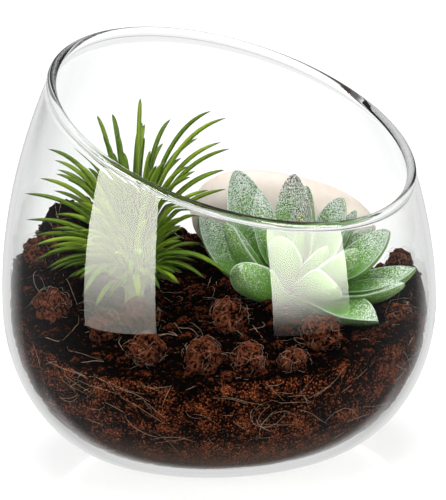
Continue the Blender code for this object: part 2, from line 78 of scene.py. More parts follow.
# The bowl's shape, as the frame has it
BODY_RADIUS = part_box("glass_bowl")[1][0]
FOOT_RADIUS = 32 * MM
BELLY_HEIGHT = 54 * MM
BLANK_HEIGHT = 150 * MM
NECK_NARROWING = 28.2 * MM
NECK_CURVE = 1.95
WALL = 2.2 * MM
BASE_THICKNESS = 2.6 * MM
RIM_MIDDLE_HEIGHT = 120.3 * MM
RIM_SLOPE = 0.445
RIM_HIGH_SIDE = math.radians(131.7)
BEAD_RADIUS = 1.7 * MM
GAP = 0.1 * MM
ROWS_BELOW_BELLY = 26
ROWS_ABOVE_BELLY = 24
BEAD_STEPS = 14

# The coir's level and its fall towards the front
BED_LEVEL = 51 * MM
FRONT_FALL = 9 * MM
FALL_START = 20 * MM
FALL_LENGTH = 50 * MM
# Its mounds and its one dip, as (x, y, rise, spread)
MOUNDS = [[value * MM for value in mound] for mound in (
    (-59, 29, 21, 9), (-47, 42, 24, 12), (-27, 54, 15, 12), (-66, 0, 21, 13), (-58, -26, 5, 10),
    (66, 14, 9, 12), (-4, 60, 4, 14), (4, 60, 5, 24), (15, -21, 4, 6.5), (42, -22, -10, 10),
)]
# The hollows round the plants' stems. Their spread is a share of the stem's radius
PIT_DEPTH = 5 * MM
PIT_SPREAD = 1.5

# The sizes in the coir's crumbly surface, and how far its pattern is bent out of line
CLOD_SIZE = 8 * MM
CRUMB_SIZE = 3.1 * MM
GRIT_SIZE = 1.5 * MM
WARP_SIZE = 5 * MM
WARP_REACH = 1.6 * MM
TOP_CRUMB_RISE = 4.2 * MM
# Against the glass, crumbs above this crest are pressed flat, and gaps go in behind them
WALL_CRUMB_DEPTH = 4.5 * MM
PRESSED_CREST = 0.62
PRESSED_INSET = 0.2 * MM
# Fine silt fills the gaps at the bottom, and leaves them this share of their depth
SILT_HEIGHT = 30 * MM
SILT_GAPS = 0.4
# Where the top of the coir meets the glass
EDGE_GAP = 0.5 * MM
EDGE_INSET = 1.2 * MM
EDGE_FADE = 4 * MM
EDGE_ROUNDING = 1.5 * MM
BED_SIDES = 360
COIR_SEED = 1

# Loose crumbs and grains
CRUMB_SEED = 21
LARGE_CRUMB = 1.7 * MM
STEM_ROOM = 5 * MM

# Loose lumps, as (x, y, z, radius) of each
LUMPS = [[value * MM for value in lump] for lump in (
    (-38.6, -37, 54.5, 5.6), (-27, -27, 54, 7), (-24.6, -51, 49, 6.2), (-6, -57, 47.5, 6.6),
    (3.2, -31, 54.5, 6.4), (9, -58, 46.5, 5.6), (23.5, -58.5, 45, 5.2), (33, -45, 51, 7),
    (61, -21, 50, 4.6), (-56, -25, 59, 6.4), (-61, -2, 73, 6.8), (-44, 34, 77, 5.2),
    (64.5, 14, 60.5, 5.6),
)]
LUMP_SEED = 50
LUMP_SEED_STEP = (3.7, 1.9, 0.0)
LUMP_GRAIN = 1.6
LUMP_ROUGHNESS = 0.3
LUMP_CRUMB_RISE = 2.4 * MM
LUMP_GRIT_RISE = 0.35 * MM

# Fibres. On the wall, every third starts at one of the knots (azimuth in degrees, height)
FIBRE_SEED = 5
FIBRE_STEP = 0.9 * MM
FIBRE_LEAST_STEPS = 5
FIBRE_KNOTS = [(-118, 46 * MM), (-101, 41 * MM), (-42, 46 * MM), (-75, 34 * MM), (-130, 38 * MM)]
LOWEST_FIBRE = 8 * MM
FUZZ_HAIRS = 40
FUZZ_RADIUS = 0.035 * MM
FUZZ_STEP = 0.7 * MM
FUZZ_LIFT = 0.5 * MM
FUZZ_STEPS = 5

PEBBLE_CENTRE = Vector((24.5 * MM, 40 * MM, 71.5 * MM))
PEBBLE_HALF_SIZE = Vector((34 * MM, 12 * MM, 17.5 * MM))
PEBBLE_TILT = math.radians(12)
PEBBLE_SQUARENESS = 2.3
PEBBLE_NARROWING = 0.1

# Grass: blades named by their tips (x, y, z) in millimetres from the tuft's foot
TUFT_FOOT = Vector((-29 * MM, -8 * MM, 54 * MM))
TUFT_STEM_RADIUS = 4 * MM
TUFT_STEM_HEIGHT = 27 * MM
STEM_DEPTH = 12 * MM
BLADE_SEED = 8
BLADE_STEPS = 16
BLADE_THICKNESS = 1.15 * MM
# How a blade leaves the stem and bends over, as shares of the stem, its rise and its reach
BLADE_ROOT = 0.5
BLADE_ROOT_HEIGHT = 3 * MM
BLADE_ROOT_CLIMB = 0.28
BLADE_BEND_OUT = 0.34
BLADE_BEND_UP = 0.88
BLADE_BEND_LIFT = 0.08
BLADE_LEAST_BEND = 0.62
# A blade's section, as shares of half its width and of its thickness
BLADE_SECTION = [
    (-1.0, 0.1), (-0.55, 0.3), (0.0, 0.12), (0.55, 0.3), (1.0, 0.1),
    (0.62, -0.55), (0.0, -1.0), (-0.62, -0.55),
]
BLADE_TIPS_MM = [
    (5, 2, 72), (-10, 0, 67), (-5, 8, 66), (-8, -6, 61), (-3, -4, 61), (5, 12, 62),
    (6, 8, 62), (15, 4, 64), (29, 6, 66), (34, 2, 64), (24, 10, 56), (32, 12, 54),
    (35, 4, 53), (32, 14, 44), (33, 8, 45), (33, 4, 39), (25, -6, 33), (25, -16, 12),
    (34, -20, 13), (16, -18, 11), (-18, 6, 56), (-27, 0, 56), (-26, 12, 50), (-25, 10, 47),
    (-25, 2, 47), (-31, 6, 45), (-36, 0, 41), (-27, 14, 39), (-35, -6, 33), (-28, -10, 24),
    (-30, -8, 21), (-34, -4, 18), (-29, -12, 17), (-8, -16, 7), (-13, -18, 4),
]
# Blades that fill the tuft, with their elevation in degrees. They are longer towards its crown,
# and shorter beside the succulent
FILL_SEED = 4
FILL_REACH = (20 * MM, 36 * MM)
FILL_CROWN_GROWTH = 0.5
FILL_HEIGHT = 6 * MM
FILL_LOWEST = 8
FILL_SPREAD = 72
FILL_WANDER = 6
ROSETTE_SIDE = math.radians(75)
ROSETTE_SIDE_TOP = 0.6
ROSETTE_SIDE_REACH = 0.72
WALL_CLEARANCE = 2.5 * MM
COIR_CLEARANCE = 2 * MM
TIP_STEP = 0.94

# Both plants' stems
STEM_STEPS = 14
STEM_SIDES = 16
STEM_NARROWING = 0.4

# Succulent: leaves as tip (x, y, z) from its foot and width in millimetres, and roll in degrees,
# from the lowest on the stem to the highest
ROSETTE_FOOT = Vector((24.5 * MM, -8 * MM, 53 * MM))
ROSETTE_STEM_RADIUS = 4.5 * MM
ROSETTE_STEM_HEIGHT = 16 * MM
LOWEST_LEAF = 1.5 * MM
LEAF_CLIMB = 7 * MM
LEAF_ROOT = 0.3
LEAF_BEND_OUT = 0.66
LEAF_BEND_UP = 0.24
LEAF_SAG = 0.08
LEAF_THICKNESS = 0.29
LEAF_END_THICKNESS = 0.25
LEAF_FOLD = 0.36
LEAF_WIDEST = 0.58
LEAF_BASE = 0.52
LOW_LEAF_POINT = 1.2
HIGH_LEAF_POINT = 0.55
HIGH_LEAF = 20 * MM
LEAF_SIDES = 24
LEAF_STEPS = 22
LEAVES_MM = [
    (-7.5, 24, 18, 12, 0), (10.5, 25, 16, 12, 0), (26.5, 22, 12, 12, 0), (-17.5, -14, 17.5, 15, 45),
    (28.5, -21, -2.5, 14.5, 14), (38.5, -7, 7, 14, 10), (43.5, 3, 10, 14, 16), (-17.5, 19, 18, 12, 0),
    (-29.5, 8, 31, 18, -30), (34.5, 6, 23, 15, 24), (-17, 17, 44, 18, -20), (7.5, 20, 37, 10, 0),
    (29.5, 19, 22, 13, 0), (24, 18, 28, 9, 0), (19, 11, 34, 16, 15), (-20.5, -5, 31, 14, -12),
    (22.5, -9, 20, 14, -20), (15.5, -15, 9, 14, -60), (3, 11, 43, 14, 0), (-9.5, 10, 38, 9, -35),
    (7, 5.5, 35, 15, 0), (-3.5, -12, 26, 12.5, 0), (-8.5, -6, 29, 7, 10), (12.5, -8, 21, 9, -20),
    (4.5, -2, 32, 7, 0),
]
BROWN_TIPPED = {18, 20, 24}

# The stage
FLOOR_REACH = 6.0
FLOOR_DROP = 0.05 * MM
LAMP_SIZE = 0.9
LAMP_TARGET = (0.0, 0.0, 0.06)
RIGHT_KEY_SHARE = 0.6
CAMERA_TARGET = Vector((1.96 * MM, 0.0, 70.86 * MM))

# The shade of a piece whose material needs none
PLAIN = (0.0, 0.0, 0.0, 0.0)


def colour(name, description, default):
    return FloatVectorProperty(
        name=name, description=description, default=default, subtype="COLOR", min=0.0, max=1.0
    )


def amount(name, description, default, **kind):
    return FloatProperty(name=name, description=description, default=default, **kind)


def length(name, description, default):
    return amount(name, description, default, unit="LENGTH", min=0.0)


def share(name, description, default):
    return amount(name, description, default, subtype="FACTOR", min=0.0, max=1.0)


def power(name, description, default):
    return amount(name, description, default, unit="POWER", min=0.0)


def angular(name, description, degrees):
    return amount(name, description, math.radians(degrees), subtype="ANGLE")


def count(name, description, default):
    return IntProperty(name=name, description=description, default=default, min=1)


class BowlSettings(bpy.types.PropertyGroup):
    sides: count("Sides", "Facets round the bowl", 192)
    glass: colour("Glass", "Tint of the glass", (0.985, 0.995, 0.99))
    ior: amount("IOR", "Refraction of the glass", 1.5, min=1.0)


class CoirSettings(bpy.types.PropertyGroup):
    # The colour in the gaps is painted shade, and the colour on the crests is partly painted
    # highlight
    dark: colour("Gaps", "Colour in the gaps between crumbs", (0.0015, 0.0005, 0.0003))
    brown: colour("Crumbs", "Colour of the crumbs", (0.066, 0.0125, 0.0045))
    lump: colour("Lumps", "Colour of the loose lumps", (0.2, 0.056, 0.028))
    speck_and_highlight: colour("Crests", "Colour where crumbs catch the light", (0.7, 0.21, 0.08))
    silt: colour("Silt", "Colour of the fine coir at the bottom", (0.2, 0.1, 0.055))
    crumbs: count("Crumbs", "Number of loose crumbs", 520)
    grains: count("Grains", "Number of small grains", 2600)
    fibre: colour("Fibre", "Colour of the loose fibres", (0.7, 0.5, 0.36))
    wall_fibres: count("Wall fibres", "Number of fibres pressed against the glass", 190)
    top_fibres: count("Top fibres", "Number of fibres lying on the coir", 170)
    fibre_radius: length("Fibre radius", "Half the thickness of a fibre", 0.06 * MM)


class PebbleSettings(bpy.types.PropertyGroup):
    pale: colour("Pale", "Main colour of the pebble", (0.6, 0.54, 0.49))
    warm: colour("Warm", "Colour of its warmer clouds", (0.52, 0.45, 0.39))


class GrassSettings(bpy.types.PropertyGroup):
    width: length("Width", "Width of a blade", 2.5 * MM)
    fill_blades: count("Fill", "Number of blades that fill the tuft", 150)
    root: colour("Root", "Colour of a blade at its root", (0.3, 0.38, 0.13))
    middle: colour("Middle", "Colour of a blade halfway", (0.034, 0.09, 0.002))
    olive: colour("Olive", "Colour of the paler blades", (0.19, 0.29, 0.014))
    tip: colour("Tip", "Colour of a blade at its tip", (0.03, 0.05, 0.008))


class SucculentSettings(bpy.types.PropertyGroup):
    green: colour("Green", "Colour of a leaf near its base", (0.055, 0.195, 0.004))
    tip_green: colour("Tip green", "Colour of a leaf near its tip", (0.135, 0.29, 0.035))
    speckle: colour("Speckle", "Colour between the frosting", (0.025, 0.08, 0.03))
    frost: colour("Frost", "Colour of the frosting", (0.62, 0.68, 0.64))
    brown: colour("Brown", "Colour of the browned tips", (0.1, 0.05, 0.04))


class StageSettings(bpy.types.PropertyGroup):
    floor: colour("Floor", "Colour of the floor", (0.36, 0.36, 0.36))
    floor_glow: share("Floor glow", "Brightness of the light table", 0.76)
    key_power: power("Key", "Power of the left key light", 13.0)
    top_power: power("Top", "Power of the top light", 27.0)
    softbox_power: power("Softboxes", "Power of the reflected softboxes", 32.0)
    softbox_colour: colour("Softbox colour", "Colour of the reflected softboxes", (1.0, 0.985, 0.89))
    room: share("Room", "Brightness of the room that the glass reflects from the front", 0.015)
    sides: share("Sides", "Brightness of the room that the glass reflects from the sides", 0.1)
    backdrop: share("Backdrop", "Brightness of the backdrop that the glass's edges reflect", 0.8)
    trapped: share("Trapped", "Brightness of light that has run along inside the glass", 0.72)
    fill: share("Fill", "Brightness of the light that reaches shaded places", 0.08)
    bounce: share("Bounce", "Brightness of the light that the floor sends up", 0.85)
    ceiling: share("Ceiling", "Brightness of the ceiling seen through the glass", 0.35)
    camera_distance: length("Camera distance", "From the bowl to the camera", 1.0286)
    camera_height: angular("Camera angle", "Above the horizon", 11.954)
    camera_roll: angular("Camera roll", "Lean of the camera", -2.35)
    focal_length: amount("Focal length", "On a sensor 36 mm wide", 214.4, unit="CAMERA")


def smooth_step(value):
    value = max(0.0, min(1.0, value))
    return value * value * (3 - 2 * value)


def circle(sides):
    """The directions of a ring's corners, as cosines and sines."""
    for corner in range(sides):
        angle = 2 * math.pi * corner / sides
        yield math.cos(angle), math.sin(angle)


def dimmed(colour, share):
    return [share * value for value in colour]


def add_object(name, data):
    made = bpy.data.objects.new(name, data)
    bpy.context.scene.collection.objects.link(made)
    return made


class Skin:
    """Points, faces and shades gathered for one mesh. A shade is four shares for its material."""

    def __init__(self):
        self.points = []
        self.faces = []
        self.shades = []

    def add_points(self, points, shades):
        first = len(self.points)
        self.points.extend(points)
        self.shades.extend(shades)
        return first

    def loft(self, rings, shades, tip, tip_shade):
        """A closed body through rings of points, from a flat root to a point."""
        sides = len(rings[0])
        first = len(self.points)
        for ring, ring_shades in zip(rings, shades):
            self.add_points(ring, ring_shades)
        self.faces.append(tuple(range(first + sides - 1, first - 1, -1)))
        for low in range(first, first + sides * (len(rings) - 1), sides):
            for k in range(sides):
                after = (k + 1) % sides
                self.faces.append((low + k, low + after, low + sides + after, low + sides + k))
        end = self.add_points([tip], [tip_shade])
        last = end - sides
        for k in range(sides):
            self.faces.append((last + k, last + (k + 1) % sides, end))

    def close_turned(self, sides, ends, shades):
        """Faces round the axis through the sections so far, closed by two points on the axis."""
        rows = len(self.points) // sides
        middle = self.add_points(ends, shades)
        for low in range(0, middle, rows):
            high = (low + rows) % middle
            self.faces.append((middle, high, low))
            for k in range(rows - 1):
                self.faces.append((low + k, high + k, high + k + 1, low + k + 1))
            self.faces.append((low + rows - 1, high + rows - 1, middle + 1))

    def add_ball(self, ball, shape):
        """A unit ball, whose points a function turns into (point, shade)."""
        points, faces = ball
        first = self.add_points(*zip(*map(shape, points)))
        self.faces.extend(tuple(first + k for k in face) for face in faces)

    def piece(self, name):
        """A smooth-shaded piece from what was gathered."""
        mesh = bpy.data.meshes.new(name)
        mesh.from_pydata(self.points, [], self.faces)
        layer = mesh.color_attributes.new("shade", "FLOAT_COLOR", "POINT")
        layer.data.foreach_set("color", [value for shade in self.shades for value in shade])
        mesh.shade_smooth()
        return add_object(name, mesh)


def unit_ball(detail):
    """The points and faces of an icosphere."""
    bm = bmesh.new()
    bmesh.ops.create_icosphere(bm, subdivisions=detail, radius=1.0)
    points = [vertex.co.copy() for vertex in bm.verts]
    faces = [tuple(vertex.index for vertex in face.verts) for face in bm.faces]
    bm.free()
    return points, faces


def settle(piece, material, slot, *nodes):
    """Puts a piece on the model's one body, with its finish, and hides the nodes it stands for. The
    slot is not used.
    """
    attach(piece, "root")
    if nodes:
        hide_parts(*nodes)
    piece.data.materials.append(material)
    return piece


class Nodes:
    """A node tree with a short way to add and link nodes. Inputs are values or other outputs."""

    ramp = "LINEAR"
    clamped = True

    def feed(self, socket, value):
        if isinstance(value, bpy.types.NodeSocket):
            self.tree.links.new(value, socket)
        elif socket.type == "RGBA":
            socket.default_value = (*value, 1.0)
        else:
            socket.default_value = value

    def node(self, kind, inputs=None, **values):
        made = self.tree.nodes.new("ShaderNode" + kind)
        for name, value in values.items():
            setattr(made, name, value)
        for name, value in (inputs or {}).items():
            self.feed(made.inputs[name], value)
        return made

    def span(self, value, low, high, start=0.0, end=1.0):
        """Maps low to start and high to end, with no overshoot."""
        ends = {"Value": value, "From Min": low, "From Max": high, "To Min": start, "To Max": end}
        return self.node("MapRange", ends, interpolation_type=self.ramp).outputs["Result"]

    def math(self, operation, first, second):
        made = self.node("Math", {0: first, 1: second}, operation=operation, use_clamp=self.clamped)
        return made.outputs["Value"]

    def times(self, first, second):
        return self.math("MULTIPLY", first, second)

    def plus(self, first, second):
        return self.math("ADD", first, second)

    def choose(self, share, first, second):
        """One shader where the share is 0, and another where it is 1 or more."""
        return self.node("MixShader", {"Fac": share, 1: first, 2: second}).outputs["Shader"]


class Shader(Nodes):
    """A Principled material. What is the same all over goes straight on its sockets."""

    def __init__(self, name, **uniform):
        self.material = bpy.data.materials.new(name)
        self.material.use_nodes = True
        self.tree = self.material.node_tree
        self.principled = self.tree.nodes["Principled BSDF"]
        for socket, value in uniform.items():
            self.set(socket.replace("_", " "), value)

    def set(self, socket, value):
        self.feed(self.principled.inputs[socket], value)

    def place(self, scale):
        """Object coordinates, scaled from metres to pattern sizes."""
        metres = self.node("TexCoord").outputs["Object"]
        return self.node("Mapping", {"Vector": metres, "Scale": [scale] * 3}).outputs["Vector"]

    def noise(self, size, detail, roughness):
        """Noise whose features are about one size across."""
        pattern = {"Scale": 1.0, "Detail": detail, "Roughness": roughness}
        pattern["Vector"] = self.place(1.0 / size)
        return self.node("TexNoise", pattern).outputs["Fac"]

    def cells(self, size):
        """How far each point is from the middle of its cell."""
        pattern = {"Scale": 1.0, "Vector": self.place(1.0 / size)}
        return self.node("TexVoronoi", pattern).outputs["Distance"]

    def blend(self, share, under, over):
        """One colour over another."""
        colours = {"Factor": share, 6: under, 7: over}
        return self.node("Mix", colours, data_type="RGBA").outputs[2]

    def shades(self):
        """The four shares that a mesh carries."""
        carried = self.node("Attribute", attribute_name="shade").outputs
        split = self.node("SeparateColor", {"Color": carried["Color"]})
        return (*split.outputs, carried["Alpha"])

    def bump(self, height, depth):
        raised = self.node("Bump", {"Height": height, "Distance": depth, "Strength": 1.0})
        self.set("Normal", raised.outputs["Normal"])

    def clear_for(self, rays):
        """Lets the rays for which a Light Path output is 1 or more go straight through."""
        solid = self.principled.outputs["BSDF"]
        clear = self.node("BsdfTransparent").outputs["BSDF"]
        seen = self.choose(self.node("LightPath").outputs[rays], solid, clear)
        self.feed(self.tree.nodes["Material Output"].inputs["Surface"], seen)


def body_radius(z, inset=0.0, floor=0.0):
    """The bowl's outer radius at a height, or that of a surface inset from it above a floor."""
    if z >= BELLY_HEIGHT:
        rise = (z - BELLY_HEIGHT) / (BLANK_HEIGHT - BELLY_HEIGHT)
        return BODY_RADIUS - inset - NECK_NARROWING * rise**NECK_CURVE
    drop = min(1.0, (BELLY_HEIGHT - z) / (BELLY_HEIGHT - floor))
    return FOOT_RADIUS + (BODY_RADIUS - inset - FOOT_RADIUS) * math.sqrt(1.0 - drop * drop)


def rim_height(azimuth):
    """The height at which the slanting plane meets the middle of the wall."""
    height = RIM_MIDDLE_HEIGHT
    for _ in range(40):
        reach = body_radius(height, WALL / 2) * math.cos(azimuth - RIM_HIGH_SIDE)
        height = (height + RIM_MIDDLE_HEIGHT + RIM_SLOPE * reach) / 2
    return height


def wall_rows(inset, floor, top):
    """Points up a wall as (radius, height), from its foot to its top."""
    turns = [k / ROWS_BELOW_BELLY * math.pi / 2 for k in range(ROWS_BELOW_BELLY)]
    below = [BELLY_HEIGHT - (BELLY_HEIGHT - floor) * math.cos(turn) for turn in turns]
    rise = top - BELLY_HEIGHT
    above = [BELLY_HEIGHT + rise * k / ROWS_ABOVE_BELLY for k in range(ROWS_ABOVE_BELLY + 1)]
    return [(body_radius(z, inset, floor), z) for z in below + above]


def bead_rows(height):
    """The bead's section, from the outer wall over its top to the inner wall."""
    middle = body_radius(height, WALL / 2)
    lean = math.atan2(middle - body_radius(height + MM, WALL / 2), MM)
    start = -math.acos(WALL / 2 / BEAD_RADIUS)
    rows = []
    for k in range(BEAD_STEPS + 1):
        angle = start + (math.pi - 2 * start) * k / BEAD_STEPS + lean
        rows.append((middle + BEAD_RADIUS * math.cos(angle), height + BEAD_RADIUS * math.sin(angle)))
    return rows


def glass_section(azimuth):
    """The bowl's section at one azimuth, from under its middle, round the wall, to inside it."""
    height = rim_height(azimuth)
    top = height - BEAD_RADIUS
    outer = wall_rows(0.0, 0.0, top)
    inner = wall_rows(WALL, BASE_THICKNESS, top)
    under = [(FOOT_RADIUS * k / 4, 0.0) for k in range(1, 4)]
    inside = [(radius, BASE_THICKNESS) for radius, _ in reversed(under)]
    return under + outer + bead_rows(height) + inner[::-1] + inside


class TERRARIUM_OT_bowl(bpy.types.Operator):
    """Blow the glass bowl with its slanting rim"""

    bl_idname = "terrarium.bowl"
    bl_label = "Glass Bowl"

    def execute(self, context):
        settings = context.scene.terrarium_bowl
        skin = Skin()
        for side in range(settings.sides):
            azimuth = 2 * math.pi * side / settings.sides
            across, along = math.cos(azimuth), math.sin(azimuth)
            section = glass_section(azimuth)
            ring = [(radius * across, radius * along, z) for radius, z in section]
            skin.add_points(ring, [PLAIN] * len(ring))
        skin.close_turned(settings.sides, [(0, 0, 0), (0, 0, BASE_THICKNESS)], [PLAIN] * 2)
        finish = Shader("blown_glass", Roughness=0.0, Transmission_Weight=1.0, IOR=settings.ior)
        finish.set("Base Color", settings.glass)
        bowl = settle(skin.piece("blown_bowl"), finish.material, "clear_glass", "glass_bowl")
        # The lamps light the planting as if the glass weren't in their way
        bowl.visible_shadow = False
        return {"FINISHED"}


def bed_height(x, y):
    """The height of the coir's surface, before its crumbs."""
    height = BED_LEVEL - FRONT_FALL * smooth_step((-y - FALL_START) / FALL_LENGTH)
    for mound_x, mound_y, rise, spread in MOUNDS:
        distance = math.hypot(x - mound_x, y - mound_y) / spread
        height += rise * math.exp(-distance * distance / 2)
    return height


def crumble(x, y, z):
    """How far a crumb stands out at a point, from 0 in a gap to 1 on a crest."""
    point = Vector((x, y, z))
    bent = point + noise.noise_vector(point / WARP_SIZE) * WARP_REACH
    clods = 1.0 - noise.voronoi(bent / CLOD_SIZE)[0][0]
    crumbs = 1.0 - noise.voronoi(bent / CRUMB_SIZE)[0][0]
    grit = noise.fractal(point / GRIT_SIZE, 0.8, 2.0, 2)
    return max(0.0, min(1.0, 0.5 * clods + 0.42 * crumbs + 0.13 * grit))


def pit_depth(x, y):
    """How far the coir sinks round the plants' stems."""
    depth = 0.0
    for foot, radius in ((TUFT_FOOT, TUFT_STEM_RADIUS), (ROSETTE_FOOT, ROSETTE_STEM_RADIUS)):
        distance = math.hypot(x - foot.x, y - foot.y) / (PIT_SPREAD * radius)
        depth += PIT_DEPTH * math.exp(-distance**4)
    return depth


def top_height(x, y):
    """The height of the coir's surface with its crumbs, and how far the crumb stands out."""
    base = bed_height(x, y)
    crest = crumble(x, y, base)
    return base + TOP_CRUMB_RISE * (crest - 0.5) - pit_depth(x, y), crest


def inner_radius(z):
    return body_radius(z, WALL + GAP, BASE_THICKNESS + GAP)


def pressed_inset(crest, z, edge):
    """How far in from the glass the coir stands, under an edge at a height."""
    inset = WALL_CRUMB_DEPTH * max(0.0, PRESSED_CREST - crest)
    inset = PRESSED_INSET + inset * (SILT_GAPS + (1 - SILT_GAPS) * smooth_step(z / SILT_HEIGHT))
    below = smooth_step((edge - z) / EDGE_FADE)
    return inset * below + EDGE_INSET * (1 - below)


def bed_piece():
    """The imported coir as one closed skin, from under its middle, up the glass and over the top."""
    wall_steps, top_steps, floor_steps = 74, 84, 14
    floor = BASE_THICKNESS + GAP
    skin = Skin()
    for across, along in circle(BED_SIDES):
        level_radius = inner_radius(BED_LEVEL) - EDGE_GAP
        edge = bed_height(level_radius * across, level_radius * along)
        section = [(FOOT_RADIUS * (k + 1) / floor_steps, floor) for k in range(floor_steps)]
        for k in range(1, wall_steps + 1):
            z = floor + (edge - floor) * (1 - math.cos(k / wall_steps * math.pi / 2))
            section.append((inner_radius(z), z))
        for radius, z in section:
            crest = crumble(radius * across, radius * along, z)
            radius -= pressed_inset(crest, z, edge)
            skin.add_points([(radius * across, radius * along, z)], [(crest, z / edge, 1.0, 0.0)])
        top_radius = inner_radius(edge) - EDGE_GAP - EDGE_ROUNDING
        for k in range(1, top_steps):
            radius = top_radius * (1 - k / top_steps)
            x, y = radius * across, radius * along
            z, crest = top_height(x, y)
            skin.add_points([(x, y, z)], [(crest, 1.0, 0.0, 0.0)])
    z, crest = top_height(0.0, 0.0)
    shades = [(0.5, 0.0, 1.0, 0.0), (crest, 1.0, 0.0, 0.0)]
    skin.close_turned(BED_SIDES, [(0.0, 0.0, floor), (0.0, 0.0, z)], shades)
    return skin.piece("packed_coir")


def clear_of_pieces(x, y, z, radius):
    """Whether a crumb here is clear of the lumps, the stems and the pebble."""
    for lump_x, lump_y, lump_z, size in LUMPS:
        if math.dist((x, y, z), (lump_x, lump_y, lump_z)) < size + 0.5 * radius:
            return False
    for foot in (TUFT_FOOT, ROSETTE_FOOT):
        if math.hypot(x - foot.x, y - foot.y) < STEM_ROOM + radius:
            return False
    reach = [
        (value - middle) / (half + radius)
        for value, middle, half in zip((x, y, z), PEBBLE_CENTRE, PEBBLE_HALF_SIZE)
    ]
    return sum(value * value for value in reach) > 1.0


def crumb_shape(centre, radius, squash, seed, pale):
    """A function that turns a unit ball's points into those of one knobbly crumb."""

    def shape(direction):
        push = noise.noise(direction * 1.5 + Vector((seed, 0, 0)))
        grit = noise.noise(direction * 4.5 + Vector((0, seed, 0)))
        size = radius * (1 + 0.35 * push + 0.16 * grit)
        # Crests are higher on a crumb's upper side, so the material paints its top lighter: painted
        # light from above
        crest = 0.6 + 0.5 * grit + 0.3 * direction.z
        return centre + direction * squash * size, (crest, 1.0, 0.0, pale)

    return shape


def crumbs_piece(settings):
    """Loose crumbs and grains on the coir."""
    skin = Skin()
    draw = random.Random(CRUMB_SEED)
    fine, coarse, tiny = unit_ball(3), unit_ball(2), unit_ball(1)
    for k in range(settings.crumbs + settings.grains):
        grain = k >= settings.crumbs
        radius = draw.uniform(0.35, 0.9) * MM if grain else draw.uniform(1.0, 1.7) ** 2 * MM
        reach = (inner_radius(BED_LEVEL) - 1.2 * radius) * math.sqrt(draw.random())
        azimuth = draw.uniform(0, 2 * math.pi)
        x, y = reach * math.cos(azimuth), reach * math.sin(azimuth)
        z = top_height(x, y)[0] + 0.25 * radius
        if reach > inner_radius(z + radius) - 1.2 * radius or not clear_of_pieces(x, y, z, radius):
            continue
        if grain:
            ball = tiny
        else:
            ball = fine if radius > LARGE_CRUMB else coarse
        squash = Vector((draw.uniform(0.8, 1.2), draw.uniform(0.8, 1.2), draw.uniform(0.65, 1.0)))
        skin.add_ball(ball, crumb_shape(Vector((x, y, z)), radius, squash, k, draw.random()))
    return skin.piece("coir_crumbs")


def lump_piece(number, place):
    """One loose lump, in the form that the frame has, with its crumbs."""
    x, y, z, radius = place
    centre = Vector((x, y, z))
    shift = Vector([(LUMP_SEED + number) * step for step in LUMP_SEED_STEP])
    skin = Skin()

    def shape(direction):
        push = noise.noise(direction * LUMP_GRAIN + shift)
        rough = radius * (1.0 + LUMP_ROUGHNESS * push)
        point = centre + direction * rough
        crest = crumble(point.x * 1.25, point.y * 1.25, point.z * 1.25)
        fine = noise.fractal(direction * 7.0 + shift, 0.7, 2.0, 3)
        lift = (crest - 0.72) * LUMP_CRUMB_RISE + LUMP_GRIT_RISE * fine
        light = 0.52 + 0.7 * crest + 0.3 * fine
        return centre + direction * (rough + lift), (light, 1.0, 0.0, 0.5)

    skin.add_ball(unit_ball(5), shape)
    return skin.piece(f"crumbly_lump_{number:02d}")


def thread(skin, path, radius, shade):
    """A thin fibre along a path, tapered at both ends."""
    rings, shades = [], []
    for k, point in enumerate(path[:-1]):
        along = (path[k + 1] - point).normalized()
        side = along.orthogonal().normalized()
        up = along.cross(side)
        taper = 0.45 + 0.55 * math.sin(math.pi * min(1.0, (k + 0.6) / (len(path) - 1)))
        rings.append([point + (side * u + up * v) * radius * taper for u, v in circle(4)])
        shades.append([shade] * 4)
    skin.loft(rings, shades, path[-1], shade)


def wall_path(draw, azimuth, z, steps):
    """A wandering path just inside the glass."""
    heading = draw.choice((0.0, math.pi)) + draw.gauss(0, 0.55)
    bend = draw.gauss(0, 0.08)
    inset = draw.uniform(0.08, 0.25) * MM
    path = []
    for _ in range(steps):
        radius = inner_radius(z) - inset
        path.append(Vector((radius * math.cos(azimuth), radius * math.sin(azimuth), z)))
        heading += bend + draw.gauss(0, 0.07)
        azimuth += FIBRE_STEP * math.cos(heading) / radius
        z += FIBRE_STEP * math.sin(heading)
    return path


def top_path(draw, x, y, steps):
    """A wandering path on the coir, arched a little off it."""
    heading = draw.uniform(0, 2 * math.pi)
    bend = draw.gauss(0, 0.1)
    arch = draw.uniform(0.3, 2.2) * MM
    path = []
    for k in range(steps):
        z = top_height(x, y)[0] + 0.3 * MM + arch * math.sin(math.pi * k / steps)
        if math.hypot(x, y) > inner_radius(z) - 1.5 * MM:
            break
        path.append(Vector((x, y, z)))
        heading += bend + draw.gauss(0, 0.08)
        x += FIBRE_STEP * math.cos(heading)
        y += FIBRE_STEP * math.sin(heading)
    return relaxed(path)


def relaxed(path):
    """The path with its small ups and downs evened out."""
    for _ in range(3):
        middle = [(path[k - 1] + path[k] * 2 + path[k + 1]) / 4 for k in range(1, len(path) - 1)]
        path = path[:1] + middle + path[-1:]
    return path


def lay_fibre(skin, draw, path, radius, thinnest, thickest):
    """A fibre along a path, where that is long enough."""
    if len(path) >= FIBRE_LEAST_STEPS:
        thick = radius * draw.uniform(thinnest, thickest)
        thread(skin, path, thick, (draw.random(), 0.0, 0.0, 0.0))


